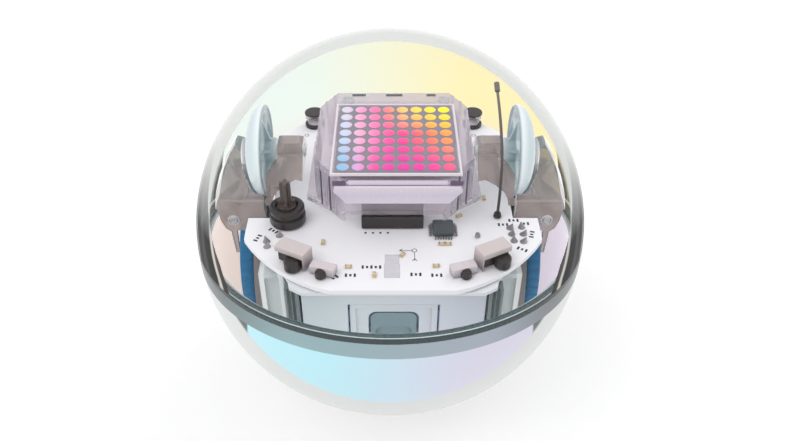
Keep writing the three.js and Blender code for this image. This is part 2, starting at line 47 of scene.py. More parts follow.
# ---------------------------------------------------------------- dimensions
BALL = 36.48
CAVITY = 34.1
TILT = math.radians(-8)  # the seam's front edge stands higher
RIM_FACING = 1 - math.sqrt(1 - (CAVITY / BALL) ** 2)  # how edge on the wall is where the cavity ends
SEAM_HALF_GAP = 0.5
SEAL = {"inner": 35.0, "outer": 36.46}
REST_Z = -36.3
BOARD_TOP = 8.0
BOARD_X = 0.5
TOWER_X = 0.7
IDLER = {"x": 23.1, "y": 1.0, "z": 15.8, "radius": 8.3, "bulge": 3.0}
MATRIX = {"x": 1.0, "y": -0.3, "top": 19.5, "pitch_x": 2.575, "pitch_y": 2.7, "dot": 1.08, "count": 8}
SIDES = (("right", 1), ("left", -1))

# ---------------------------------------------------------------- camera
IMAGE_WIDTH = 785
CAMERA_DISTANCE = 150.0
CAMERA_ELEVATION = math.radians(38.5)
FOCAL_PIXELS = 773.3
SHIFT_PIXELS = (2.3, 1.2)

camera_data = bpy.data.cameras.new("camera")
camera = bpy.data.objects.new("camera", camera_data)
bpy.context.scene.collection.objects.link(camera)
toward_camera = Vector((0, -math.cos(CAMERA_ELEVATION), math.sin(CAMERA_ELEVATION)))
camera.location = toward_camera * CAMERA_DISTANCE * MM
camera.rotation_euler = (-camera.location).to_track_quat("-Z", "Y").to_euler()
camera_data.lens = FOCAL_PIXELS / IMAGE_WIDTH * camera_data.sensor_width
camera_data.shift_x = SHIFT_PIXELS[0] / IMAGE_WIDTH
camera_data.shift_y = SHIFT_PIXELS[1] / IMAGE_WIDTH
camera_data.clip_start = 0.005
bpy.context.scene.camera = camera
bpy.context.scene.view_settings.view_transform = "Standard"
bpy.context.scene.cycles.transparent_max_bounces = 32


# ---------------------------------------------------------------- material nodes
def tint(red, green, blue):
    """A display colour, 0 to 255 each, as the linear colour that shaders take."""
    def linear(value):
        value /= 255
        return value / 12.92 if value <= 0.04045 else ((value + 0.055) / 1.055) ** 2.4
    return (linear(red), linear(green), linear(blue), 1)


WHITE = (1, 1, 1, 1)


class Surface:
    """Builds one node material."""

    def __init__(self, name):
        self.material = bpy.data.materials.new(name)
        self.material.use_nodes = True
        self.tree = self.material.node_tree
        self.tree.nodes.clear()
        self.place = self.node("ShaderNodeTexCoord").outputs["Object"]

    def node(self, kind, inputs=None, **settings):
        made = self.tree.nodes.new(kind)
        for key, value in settings.items():
            setattr(made, key, value)
        for key, value in (inputs or {}).items():
            if isinstance(value, bpy.types.NodeSocket):
                self.tree.links.new(value, made.inputs[key])
            else:
                made.inputs[key].default_value = value
        return made

    def math(self, operation, *values, clamp=False):
        made = self.node("ShaderNodeMath", dict(enumerate(values)), operation=operation, use_clamp=clamp)
        return made.outputs[0]

    def rise(self, value, start, end):
        """0 below start and 1 above end, smoothly between."""
        made = self.node("ShaderNodeMapRange", {"Value": value, "From Min": start, "From Max": end},
                         interpolation_type="SMOOTHSTEP")
        return made.outputs["Result"]

    def span(self, value, low, high, start=0.0, end=1.0):
        """Maps start..end to low..high."""
        made = self.node("ShaderNodeMapRange", {"Value": value, "From Min": start, "From Max": end,
                                                "To Min": low, "To Max": high})
        return made.outputs["Result"]

    def noise(self, size, detail=2.0, stretch=(1, 1, 1)):
        """Noise whose features are about size millimetres."""
        where = self.node("ShaderNodeMapping", {"Vector": self.place, "Scale": stretch}).outputs[0]
        scale = 1 / (size * MM)
        made = self.node("ShaderNodeTexNoise", {"Vector": where, "Scale": scale, "Detail": detail})
        return made.outputs["Fac"]

    def mix(self, factor, first, second, blend_type="MIX"):
        made = self.node("ShaderNodeMix", {0: factor, 6: first, 7: second}, data_type="RGBA",
                         blend_type=blend_type)
        return made.outputs[2]

    def ramp(self, factor, stops, interpolation="LINEAR"):
        made = self.node("ShaderNodeValToRGB", {"Fac": factor})
        made.color_ramp.interpolation = interpolation
        elements = made.color_ramp.elements
        while len(elements) < len(stops):
            elements.new(0.5)
        for element, (position, colour) in zip(elements, stops):
            element.position = position
            element.color = colour
        return made.outputs["Color"]

    def axes(self, turn=0.0):
        """x, y and z of the place in millimetres, seen in a frame turned about X."""
        scaled = self.node("ShaderNodeMapping", {"Vector": self.place, "Scale": (1 / MM,) * 3,
                                                 "Rotation": (-turn, 0, 0)})
        return self.node("ShaderNodeSeparateXYZ", {0: scaled.outputs[0]}).outputs

    def facing(self):
        """0 seen head on, 1 seen edge on."""
        return self.node("ShaderNodeLayerWeight", {"Blend": 0.5}).outputs["Facing"]

    def bump(self, height, depth):
        """Relief of that depth in millimetres."""
        made = self.node("ShaderNodeBump", {"Height": height, "Distance": depth * MM, "Strength": 1.0})
        return made.outputs[0]

    def principled(self, colour, roughness, normal=None, **more):
        inputs = {"Base Color": colour, "Roughness": roughness}
        if normal is not None:
            inputs["Normal"] = normal
        inputs.update({key.replace("_", " "): value for key, value in more.items()})
        return self.node("ShaderNodeBsdfPrincipled", inputs).outputs[0]

    def transparent(self, colour):
        return self.node("ShaderNodeBsdfTransparent", {"Color": colour}).outputs[0]

    def front(self):
        """1 where a ray meets the outer side of the surface, 0 on its inner side."""
        return self.math("SUBTRACT", 1.0, self.node("ShaderNodeNewGeometry").outputs["Backfacing"])

    def glossy(self, roughness, normal=None):
        inputs = {"Color": WHITE, "Roughness": roughness}
        if normal is not None:
            inputs["Normal"] = normal
        return self.node("ShaderNodeBsdfGlossy", inputs).outputs[0]

    def mirror(self, index):
        """Share of light that the surface's outer side mirrors."""
        share = self.node("ShaderNodeFresnel", {"IOR": index}).outputs[0]
        return self.math("MULTIPLY", share, self.front())

    def for_eyes_only(self, shader):
        """Lamps and bounced light pass straight through."""
        seen = self.node("ShaderNodeLightPath").outputs["Is Camera Ray"]
        return self.blend(seen, self.transparent(WHITE), shader)

    def blend(self, factor, first, second):
        return self.node("ShaderNodeMixShader", {0: factor, 1: first, 2: second}).outputs[0]

    def done(self, shader):
        self.node("ShaderNodeOutputMaterial", {"Surface": shader})
        return self.material


def moulded(name, colour, roughness=0.4, depth=0.012, grain=0.35, shift=0.06, **more):
    """Moulded plastic: a slow drift of tone, fine grain and an uneven sheen."""
    s = Surface(name)
    drift = s.noise(6.0, 3.0)
    grained = s.noise(grain, 3.0)
    darker = tuple(c * (1 - shift) for c in colour[:3]) + (1,)
    base = s.mix(drift, darker, colour)
    sheen = s.span(grained, roughness - 0.07, roughness + 0.07)
    return s.done(s.principled(base, sheen, s.bump(grained, depth), **more))


def metal(name, colour, roughness=0.3, stretch=(1, 1, 8), depth=0.01):
    """Plain metal with fine drawn lines and faint staining."""
    s = Surface(name)
    lines = s.noise(1.2, 4.0, stretch)
    stain = s.noise(3.0, 2.0)
    darker = tuple(c * 0.78 for c in colour[:3]) + (1,)
    base = s.mix(stain, darker, colour)
    sheen = s.span(lines, roughness - 0.1, roughness + 0.12)
    return s.done(s.principled(base, sheen, s.bump(lines, depth), Metallic=1.0))


def clear(name, glass, body, shade, face=0.25, edge=0.85, roughness=0.12, outboard=None):
    """Clear moulding: body colour in front, painted shade where it turns away, a painted highlight line
    at its very edge.
    """
    s = Surface(name)
    cloud = s.noise(4.0, 1.0)
    fine = s.noise(0.5, 2.0)
    turned = s.facing()
    solid = s.math("ADD", s.span(turned, face, edge, 0.2, 0.75), s.span(cloud, -0.06, 0.06), clamp=True)
    # painted shade: the colour darkens where the moulding turns away
    colour = s.mix(s.rise(turned, 0.25, 0.7), body, shade)
    if outboard:
        x, _, z = s.axes()[:3]
        beside = s.math("MULTIPLY", s.rise(s.math("ABSOLUTE", x), 24.5, 27.5), s.rise(z, 9.5, 15.0))
        colour = s.mix(beside, colour, outboard)
    # painted highlight: a bright line where the moulding is seen edge on
    colour = s.mix(s.rise(turned, 0.82, 0.93), colour, tint(240, 232, 236))
    normal = s.bump(fine, 0.004)
    plastic = s.principled(s.mix(s.span(cloud, 0.0, 0.2), colour, shade),
                           s.span(fine, roughness - 0.05, roughness + 0.08), normal)
    layered = s.blend(solid, s.transparent(glass), plastic)
    gloss = s.glossy(roughness, normal)
    mirror = s.mirror(1.35)
    return s.done(s.for_eyes_only(s.blend(mirror, layered, gloss)))


def faded(name, axis, start, end, stops, roughness=0.35, mirrored=False):
    """Moulded plastic whose colour changes along one axis, from start to end in millimetres."""
    s = Surface(name)
    fine = s.noise(0.5, 2.0)
    along = s.axes()[axis]
    place = s.span(s.math("ABSOLUTE", along) if mirrored else along, 0.0, 1.0, start, end)
    colour = s.mix(s.span(s.noise(6.0), 0.0, 0.08), s.ramp(place, stops), tint(170, 168, 176))
    sheen = s.span(fine, roughness - 0.06, roughness + 0.08)
    return s.done(s.principled(colour, sheen, s.bump(fine, 0.006)))


# ---------------------------------------------------------------- the ball's materials
MINT = tint(234, 245, 238)
LEMON = tint(252, 239, 180)
PEACH = tint(248, 226, 214)
LILAC = tint(232, 219, 234)
AQUA = tint(186, 236, 247)
MAUVE = tint(218, 214, 232)
# painted reflection: grey of the clear wall's rim where it is seen edge on
PAINTED_RIM_GREY = tint(216, 220, 218)


def pearl(s, low, high):
    """The ball's pearl tint: warm and cool over X, changing with height."""
    x, _, z = s.axes()[:3]
    across = s.rise(x, -24, 24)
    return s.mix(s.rise(z, -10, 12), s.mix(across, *low), s.mix(across, *high))


def wall_edge(s):
    """A sharp step to 1 where the wall is seen so much edge on that no cavity lies behind it."""
    return s.rise(s.facing(), RIM_FACING - 0.012, RIM_FACING + 0.02)


# the grey rim and its lines are painted reflection
RIM_SOLID, LINES_SOLID = 0.88, 0.96  # how much the grey rim and its lines hide
# painted shade: the seam and the printed band darken towards the ball's sides over this distance
SEAM_SIDE_SHADE = (14, 33)  # distance to the side over which the seam and the band darken
# painted reflection: colours of the dark and bright lines in the rim, by how edge on the wall is seen
PAINTED_RIM_LINES = [(0.585, tint(70, 66, 62)), (0.6, tint(52, 48, 46)), (0.622, tint(60, 56, 54)),
             (0.634, tint(214, 208, 200)), (0.65, tint(200, 198, 192)), (0.662, tint(8, 7, 7)),
             (0.735, tint(10, 9, 9)), (0.75, tint(64, 66, 62)), (0.79, tint(58, 60, 57)),
             (0.8, tint(4, 4, 4)), (0.885, tint(6, 6, 6)), (0.895, tint(206, 206, 204)),
             (0.925, tint(40, 42, 44)), (1.0, tint(52, 54, 56))]


def dome_outside():
    """Clear shell with a painted grey rim, a painted reflection of the thick wall seen edge on; near the
    seam that rim carries painted dark and bright lines.
    """
    s = Surface("dome_outside")
    scuffs = s.noise(5.0, 4.0, (1, 1, 3))
    turned, height = s.facing(), s.axes(TILT)[2]
    # painted reflection: the rim's grey and its lines follow how edge on the wall is seen
    plain = s.mix(scuffs, tint(222, 223, 219), PAINTED_RIM_GREY)
    near_seam = s.span(height, 1.0, 0.0, 7.0, 20.0)
    inner = s.span(height, 0.585, 0.8, 5.0, 22.0)
    lined = s.math("MULTIPLY", near_seam, s.math("GREATER_THAN", turned, inner))
    rim = s.principled(s.mix(lined, plain, s.ramp(turned, PAINTED_RIM_LINES)), 0.45, Specular_IOR_Level=0.1)
    solid = s.math("MAXIMUM", s.math("MULTIPLY", wall_edge(s), RIM_SOLID),
                   s.math("MULTIPLY", lined, LINES_SOLID))
    shell = s.blend(solid, s.transparent(WHITE), rim)
    mirror = s.math("MULTIPLY", s.mirror(1.2), s.math("SUBTRACT", 1.0, lined))
    gloss = s.glossy(s.span(scuffs, 0.02, 0.06))
    return s.done(s.for_eyes_only(s.blend(mirror, shell, gloss)))


def dome_inside():
    """The clear shell's pearly tint, which shows on its far wall; the near wall stays clear."""
    s = Surface("dome_inside")
    cloud = s.noise(16.0, 1.0)
    colour = pearl(s, (PEACH, LILAC), (MINT, LEMON))
    amount = s.math("MULTIPLY", s.front(), s.span(cloud, 0.9, 1.08), clamp=True)
    return s.done(s.for_eyes_only(s.transparent(s.mix(amount, WHITE, colour))))


BAND_EDGE = (-3.55, -3.45)  # height of the printed band's lower edge, in the tilted frame
# painted shade: a dark wedge between the rim and the pearl, from the band down to a point
SHADE_SLIVER = {"low": -6.4, "high": -2.9, "width": 0.07}


def bowl_outside():
    """Pearly lower shell: cool at the left, mauve at the right, with a printed band under the seam; its
    grey rim is a painted reflection, and the dark wedge by the rim and the band's darkening towards the
    sides are painted shade.
    """
    s = Surface("bowl_outside")
    cloud = s.noise(9.0, 3.0)
    across = s.math("ADD", s.rise(s.axes()[0], -14, 16), s.span(cloud, -0.06, 0.06), clamp=True)
    colour = s.mix(across, AQUA, MAUVE)
    x, _, z = s.axes(TILT)[:3]
    width = s.span(z, -0.02, SHADE_SLIVER["width"], SHADE_SLIVER["low"], SHADE_SLIVER["high"])
    reach = s.math("ADD", s.facing(), width)
    shade_sliver = s.math("MULTIPLY", s.rise(reach, RIM_FACING - 0.006, RIM_FACING + 0.006),
                    s.math("GREATER_THAN", z, SHADE_SLIVER["low"]))
    fade = s.rise(s.math("ABSOLUTE", x), *SEAM_SIDE_SHADE)
    printed = s.mix(across, tint(142, 172, 177), tint(162, 171, 184))
    # painted shade: the printed band darkens towards the ball's sides
    printed = s.mix(fade, printed, tint(70, 76, 77))
    # painted shade: the dark wedge where the rim meets the pearl
    colour = s.mix(shade_sliver, colour, tint(66, 76, 78))
    # painted reflection: the grey rim where the clear outer wall is seen edge on
    colour = s.mix(wall_edge(s), colour, PAINTED_RIM_GREY)
    colour = s.mix(s.rise(z, *BAND_EDGE), colour, printed)
    grain = s.noise(0.4, 2.0)
    shell = s.principled(colour, s.span(grain, 0.26, 0.36), s.bump(grain, 0.004), Coat_Weight=0.2)
    return s.done(s.for_eyes_only(shell))


def bowl_inside():
    """Inner face of the lower shell, with a painted glow (emission) that stands in for the light coming
    through it.
    """
    s = Surface("bowl_inside")
    cloud = s.noise(9.0, 3.0)
    tinted = pearl(s, (PEACH, LILAC), (PEACH, LILAC))
    colour = s.mix(s.span(cloud, 0.05, 0.25), tinted, tint(244, 236, 236))
    grain = s.noise(0.5, 2.0)
    # painted light: the emission makes the inner face glow though it is no lamp
    shell = s.principled(colour, s.span(grain, 0.35, 0.5), s.bump(grain, 0.006),
                         Emission_Color=colour, Emission_Strength=0.6)
    return s.done(s.for_eyes_only(shell))


def seam_rubber():
    """Dark seal with fine moulded lines round it and a painted silver highlight along its outer corner;
    painted shade darkens it towards the ball's sides.
    """
    s = Surface("seam_rubber")
    x, y = s.axes(TILT)[:2]
    out = s.math("SQRT", s.math("ADD", s.math("MULTIPLY", x, x), s.math("MULTIPLY", y, y)))
    teal, deep = tint(96, 120, 124), tint(52, 66, 69)
    # painted highlight: the pale silver stops by the outer corner
    stops = [(0.0, teal), (0.2, deep), (0.42, teal), (0.55, deep), (0.66, deep),
             (0.72, tint(205, 218, 220)), (0.84, tint(196, 210, 212)), (0.9, deep), (1.0, deep)]
    colour = s.ramp(s.span(out, 0.0, 1.0, SEAL["inner"], SEAL["outer"]), stops)
    # painted shade: the seal darkens towards the ball's sides
    fade = s.rise(s.math("ABSOLUTE", x), *SEAM_SIDE_SHADE)
    colour = s.mix(s.math("MULTIPLY", fade, 0.6), colour, tint(20, 21, 23))
    fine = s.noise(0.6, 3.0)
    return s.done(s.principled(s.mix(s.span(fine, 0.0, 0.2), colour, tint(40, 42, 46)),
                               s.span(fine, 0.2, 0.36), s.bump(fine, 0.006)))


def dot_light():
    """Eight by eight lit dots: cool violet at the left, magenta in front, yellow at the back right."""
    s = Surface("dot_light")
    x, y = s.axes()[:2]
    half_x = MATRIX["pitch_x"] * MATRIX["count"] / 2
    half_y = MATRIX["pitch_y"] * MATRIX["count"] / 2
    across = s.span(x, 0.0, 1.0, MATRIX["x"] - half_x, MATRIX["x"] + half_x)
    deep = s.span(y, 0.0, 1.0, MATRIX["y"] - half_y, MATRIX["y"] + half_y)
    steps = [(i + 0.5) / MATRIX["count"] for i in range(MATRIX["count"])]
    front = [tint(136, 184, 218), tint(216, 156, 204), tint(226, 84, 160), tint(220, 62, 156),
             tint(218, 56, 156), tint(226, 54, 156), tint(238, 62, 150), tint(246, 90, 132)]
    middle = [tint(192, 206, 230), tint(234, 168, 200), tint(244, 130, 182), tint(246, 84, 156),
              tint(246, 66, 140), tint(248, 96, 110), tint(250, 128, 84), tint(252, 158, 76)]
    back = [tint(208, 204, 222), tint(238, 156, 196), tint(246, 116, 170), tint(248, 134, 128),
            tint(250, 196, 112), tint(250, 212, 88), tint(252, 226, 62), tint(250, 238, 46)]
    near, mid, far = (s.ramp(across, list(zip(steps, row))) for row in (front, middle, back))
    colour = s.mix(s.span(deep, 0.0, 1.0, 0.1, 0.5), near, mid)
    colour = s.mix(s.span(deep, 0.0, 1.0, 0.55, 0.9), colour, far)
    fine = s.noise(0.5, 2.0)
    return s.done(s.principled(colour, s.span(fine, 0.25, 0.4), s.bump(fine, 0.01),
                               Emission_Color=colour, Emission_Strength=0.14))


def disc_silver():
    """Satin silver moulding with a painted highlight round the tread's inner edge, and painted shade
    beside it and towards the outer rim.
    """
    s = Surface("disc_silver")
    out = s.math("ABSOLUTE", s.axes()[0])
    # painted highlight at the bright stop, painted shade at the darker stops around it
    stops = [(0.0, tint(200, 208, 204)), (0.35, tint(198, 208, 206)), (0.5, tint(164, 184, 188)),
             (0.6, tint(152, 174, 178)), (0.64, tint(238, 245, 247)), (0.76, tint(208, 224, 228)),
             (1.0, tint(168, 190, 196))]
    colour = s.ramp(s.span(out, 0.0, 1.0, 17.0, IDLER["x"] + IDLER["bulge"]), stops)
    grain = s.noise(0.3, 3.0)
    return s.done(s.principled(s.mix(s.span(grain, 0.0, 0.06), colour, tint(150, 168, 172)),
                               s.span(grain, 0.22, 0.36), s.bump(grain, 0.006), Coat_Weight=0.4))


# ---------------------------------------------------------------- materials by name
PALE = moulded("pale_plastic", tint(226, 229, 233), 0.35)
BOARD = moulded("board_white", tint(243, 242, 246), 0.42, grain=0.9, depth=0.006, shift=0.03)
SLATE = moulded("slate_plastic", tint(118, 142, 150), 0.3)
CHARCOAL = moulded("charcoal_plastic", tint(80, 88, 92), 0.38, shift=0.15)
BLACK = moulded("black_plastic", tint(48, 41, 42), 0.32, shift=0.25)
SHADE = moulded("purple_shade", tint(104, 86, 112), 0.35, shift=0.12)
PANEL = moulded("matrix_grey", tint(138, 132, 144), 0.4, shift=0.04)
SILVER = disc_silver()
RUBBER = moulded("tyre_rubber", tint(0, 104, 152), 0.65, grain=0.25, depth=0.03, shift=0.06)
CELL = moulded("cell_blue", tint(95, 127, 168), 0.35)
FERRITE = moulded("ferrite_grey", tint(69, 70, 74), 0.75, shift=0.25)
STEEL = metal("brushed_metal", tint(200, 198, 200))
BRASS = metal("gear_brass", tint(214, 178, 104))
COPPER = metal("copper_wire", tint(196, 122, 70), stretch=(8, 8, 1))
GOLD = metal("contact_gold", tint(228, 206, 160), 0.4)
HOUSING = clear("clear_housing", tint(246, 242, 246), tint(214, 208, 214), tint(186, 172, 186),
                0.22, 0.66)
# frosted side: the dark ends are painted shade in its recess, the pale bands painted highlights along its
# edges
FROST = faded("frosted_side", 0, 18.2, 24.3, [(0.0, tint(120, 132, 136)), (0.06, tint(236, 240, 240)),
                                             (0.16, tint(240, 243, 243)), (0.2, tint(196, 206, 206)),
                                             (0.54, tint(206, 214, 214)), (0.6, tint(238, 242, 242)),
                                             (0.7, tint(228, 232, 232)), (0.74, tint(112, 106, 106)),
                                             (1.0, tint(120, 114, 114))], 0.3, mirrored=True)
SMOKE = clear("smoke_plastic", tint(226, 218, 216), tint(178, 168, 164), tint(132, 121, 119), 0.42, 0.9,
              outboard=tint(128, 140, 138))
STEM = moulded("stem_brown", tint(92, 80, 76), 0.35, shift=0.2)
WIRE = faded("aerial_wire", 2, 8.0, 25.0, [(0.0, tint(24, 20, 20)), (0.35, tint(62, 54, 50)),
                                          (1.0, tint(104, 98, 90))])
CAN = faded("screen_can", 2, 8.2, 11.6, [(0.0, tint(120, 110, 112)), (0.6, tint(176, 166, 166)),
                                         (1.0, tint(206, 194, 194))], 0.3)
EYE_BODY = faded("sensor_body", 2, 8.2, 9.9, [(0.0, tint(150, 146, 152)),
                                              (1.0, tint(214, 204, 208))], 0.28)
# painted shade: the front wall is greyer than the pale plastic, and darker towards both ends
WALL = faded("front_wall", 0, -14.8, 16.0, [(0.0, tint(186, 200, 204)), (0.3, tint(202, 212, 217)),
                                            (0.7, tint(200, 206, 215)), (1.0, tint(184, 190, 202))])
COLUMN = moulded("column_grey", tint(110, 121, 123), 0.38, shift=0.12)
FLANGE = faded("deck_white", 1, -27.0, 27.0, [(0.0, tint(222, 226, 230)), (1.0, tint(232, 234, 238))])
# painted shade: the panel is darker across its middle height
FACE = faded("panel_lilac", 2, 14.2, 17.6, [(0.0, tint(224, 216, 228)), (0.5, tint(212, 204, 222)),
                                            (1.0, tint(226, 216, 226))], 0.25)
BORDER = moulded("matrix_border", tint(228, 219, 226), 0.3)
CERAMIC = moulded("smd_ceramic", tint(214, 198, 170), 0.45, shift=0.12)
CORE = moulded("diffuser_white", tint(222, 212, 228), 0.5)
LENS = clear("clear_lens", tint(240, 240, 244), tint(214, 211, 216), tint(160, 156, 164), 0.4, 0.9)
SOLDER = metal("solder_tin", tint(176, 172, 176), 0.4, (1, 1, 1), 0.02)
MARK = moulded("printed_mark", tint(52, 48, 54), 0.6, depth=0.004)

# finish of each carried-over node, by its name without the side
NODE_FINISH = {
    "main_frame": PALE, "chassis_deck": FLANGE, "front_cover": WALL, "rear_cover": WALL,
    "front_bezel": WALL, "front_pocket": SLATE, "front_column": COLUMN, "side_housing": FROST,
    "battery": CELL, "counterweight": STEEL, "coil_ferrite": FERRITE, "charging_coil": COPPER,
    "motor": STEEL, "motor_pinion": BRASS, "axle_bush": BRASS, "wheel_axle": STEEL,
    "wheel_hub": CHARCOAL, "main_board": BOARD, "header_connector": BLACK,
    "controller_chip": CHARCOAL, "front_led": LENS, "ir_body": BLACK, "ir_shield": CAN,
    "proximity_sensor": EYE_BODY, "damper_grommet": BLACK, "damper_stem": STEM,
    "rear_post": HOUSING, "antenna_wire": WIRE, "antenna_sleeve": WIRE,
    "tower_housing": HOUSING, "front_panel": FACE, "led_panel": PANEL, "matrix_bezel": BORDER,
    "hinge_carrier": SMOKE, "arm_pin": STEEL, "arm_spring": STEEL, "idler_arm": SMOKE,
}
# width of the rounding on a node's edges
PLAIN_EDGE = 0.12
SOFT_EDGE = {"tower_housing": 0.25, "idler_arm": 0.3, "hinge_carrier": 0.25, "main_frame": 0.3,
             "front_cover": 0.25, "front_panel": 0.12, "ir_shield": 0.1, "matrix_bezel": 0.08}


def finish_node(node):
    """Gives a carried-over node its material, rounded edges and smooth turned faces."""
    kind = node.name.removesuffix("_right").removesuffix("_left")
    if kind not in NODE_FINISH:
        return
    node.data.materials.clear()
    node.data.materials.append(NODE_FINISH[kind])
    weld = node.modifiers.new("weld", "WELD")
    weld.merge_threshold = 0.001 * MM
    bevel = node.modifiers.new("edges", "BEVEL")
    bevel.width = SOFT_EDGE.get(kind, PLAIN_EDGE) * MM
    bevel.segments = 2
    bevel.limit_method = "ANGLE"
    bevel.angle_limit = math.radians(35)
    bevel.harden_normals = True


for cad_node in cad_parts.values():
    finish_node(cad_node)


# ---------------------------------------------------------------- piece helpers
def piece(name, mesh, materials, body, slot, *replaced):
    """Adds a piece that rides on body and stands for the replaced nodes."""
    made = bpy.data.objects.new(name, mesh)
    bpy.context.scene.collection.objects.link(made)
    for material in materials:
        mesh.materials.append(material)
    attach(made, body)
    if replaced:
        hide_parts(*replaced)
    return made


def mesh_of(name, points, faces, groups=None, sharp=40):
    """A mesh from points in millimetres, smooth but for edges sharper than that many degrees."""
    mesh = bpy.data.meshes.new(name)
    mesh.from_pydata([tuple(c * MM for c in p) for p in points], [], faces)
    if groups:
        mesh.polygons.foreach_set("material_index", groups)
    work = bmesh.new()
    work.from_mesh(mesh)
    bmesh.ops.recalc_face_normals(work, faces=work.faces)
    work.to_mesh(mesh)
    work.free()
    mesh.shade_smooth()
    mesh.set_sharp_from_angle(angle=math.radians(sharp))
    mesh.update()
    return mesh


def revolve(profile, count, groups=None):
    """Turns a closed loop of (radius, height) about Z. Points on the axis become one point.
    groups gives each span of the profile its material number."""
    points, rows = [], []
    for radius, height in profile:
        if radius < 1e-6:
            rows.append([len(points)] * count)
            points.append((0, 0, height))
            continue
        rows.append(range(len(points), len(points) + count))
        for i in range(count):
            angle = 2 * math.pi * i / count
            points.append((radius * math.cos(angle), radius * math.sin(angle), height))
    faces, numbers = [], []
    for at, (low, high) in enumerate(zip(rows, rows[1:] + rows[:1])):
        for i in range(count):
            corners = [low[i], low[(i + 1) % count], high[(i + 1) % count], high[i]]
            corners = [c for k, c in enumerate(corners) if c != corners[k - 1]]
            if len(corners) >= 3:
                faces.append(corners)
                numbers.append(groups[at] if groups else 0)
    return points, faces, numbers


def transformed(points, matrix):
    return [tuple(matrix @ Vector(p)) for p in points]


# ---------------------------------------------------------------- the ball
TILTED = Matrix.Rotation(TILT, 4, "X")


def shell_profile(up):
    """Half shell's section: the outer arc to the pole, the inner arc back, and a flat lip that closes it.
    """
    rows = 36
    start = math.asin(SEAM_HALF_GAP / BALL)
    outer = [(BALL, start + (math.pi / 2 - start) * i / rows) for i in range(rows + 1)]
    start = math.asin(SEAM_HALF_GAP / CAVITY)
    inner = [(CAVITY, start + (math.pi / 2 - start) * i / rows) for i in reversed(range(rows + 1))]
    profile = [(r * math.cos(a) if a < math.pi / 2 - 1e-6 else 0.0, up * r * math.sin(a))
               for r, a in outer + inner]
    groups = [0] * (rows + 1) + [1] * rows + [2]
    return profile, groups


def make_shell(name, replaced, up, outside, inside, lip, slot):
    profile, groups = shell_profile(up)
    points, faces, numbers = revolve(profile, 128, groups)
    points = transformed(points, TILTED)
    if up < 0:
        points = [(x, y, max(z, REST_Z)) for x, y, z in points]
    mesh = mesh_of(name, points, faces, numbers, 60)
    piece(name, mesh, [outside, inside, lip], "ball", slot, replaced)


CLEAR_INSIDE = dome_inside()
SHELL_LIP = moulded("shell_lip", tint(186, 198, 201), 0.4)
make_shell("clear_dome", "shell_upper", 1, dome_outside(), CLEAR_INSIDE, CLEAR_INSIDE, "clear_shell")
make_shell("pearl_bowl", "shell_lower", -1, bowl_outside(), bowl_inside(), SHELL_LIP, "pearl_shell")

ring_profile = [(SEAL["inner"], -0.46), (36.4, -0.46), (SEAL["outer"], -0.4), (SEAL["outer"], 0.36),
                (36.34, 0.45), (35.85, 0.45), (35.8, 0.36), (35.55, 0.36), (35.5, 0.45),
                (SEAL["inner"], 0.45)]
ring_points, ring_faces, _ = revolve(ring_profile, 160)
ring_mesh = mesh_of("seam_seal", transformed(ring_points, TILTED), ring_faces)
piece("seam_seal", ring_mesh, [seam_rubber()], "ball", "seam_silver", "seam_ring")


# ---------------------------------------------------------------- light matrix
def lit_dots():
    """Sixty-four shallow lenses on the matrix panel."""
    cap = [(0, 0.12), (0.5, 0.115), (0.9, 0.08), (MATRIX["dot"], 0.0), (MATRIX["dot"], -0.02), (0, -0.02)]
    lens, lens_faces, _ = revolve(cap, 24)
    points, faces = [], []
    half = (MATRIX["count"] - 1) / 2
    for row in range(MATRIX["count"]):
        for column in range(MATRIX["count"]):
            x = MATRIX["x"] + (column - half) * MATRIX["pitch_x"]
            y = MATRIX["y"] + (row - half) * MATRIX["pitch_y"]
            start = len(points)
            points += [(x + px, y + py, MATRIX["top"] + 0.04 + pz) for px, py, pz in lens]
            faces += [[start + i for i in face] for face in lens_faces]
    return mesh_of("lit_dots", points, faces)


piece("lit_dots", lit_dots(), [dot_light()], "chassis", "matrix_grey")


# ---------------------------------------------------------------- small parts on the chassis
def block_mesh(name, blocks):
    """Blocks given as (x, y, z of the middle, size along x, y, z, turn about Z in degrees)."""
    corners = [(i, j, k) for k in (-0.5, 0.5) for j in (-0.5, 0.5) for i in (-0.5, 0.5)]
    sides = [(0, 2, 3, 1), (4, 5, 7, 6), (0, 1, 5, 4), (2, 6, 7, 3), (0, 4, 6, 2), (1, 3, 7, 5)]
    points, faces = [], []
    for x, y, z, length, width, height, turn in blocks:
        place = Matrix.Translation((x, y, z)) @ Matrix.Rotation(math.radians(turn), 4, "Z")
        start = len(points)
        points += transformed([(i * length, j * width, k * height) for i, j, k in corners], place)
        faces += [[start + c for c in side] for side in sides]
    return mesh_of(name, points, faces)


def blocks_piece(name, blocks, material, slot, round_edge=0.05):
    made = piece(name, block_mesh(name, blocks), [material], "chassis", slot)
    edges = made.modifiers.new("edges", "BEVEL")
    edges.width = round_edge * MM
    edges.segments = 2
    edges.harden_normals = True


def copies_piece(name, profile, spots, material, slot, count=20, tips=None):
    """Copies of one turned part that stand at spots, each an (x, y, z), and lean by tips in turn."""
    shape, shape_faces, _ = revolve(profile, count)
    points, faces = [], []
    for number, (x, y, z) in enumerate(spots):
        start = len(points)
        lean = tips[number % len(tips)] if tips else 0.0
        points += [(x + px + lean * pz, y + py - 0.5 * lean * pz, z + pz) for px, py, pz in shape]
        faces += [[start + c for c in face] for face in shape_faces]
    piece(name, mesh_of(name, points, faces), [material], "chassis", slot)


# ---------------------------------------------------------------- board details
CHIP = {"x": 9.2, "y": -12.7, "half": 1.8, "pins": 7, "pitch": 0.46}


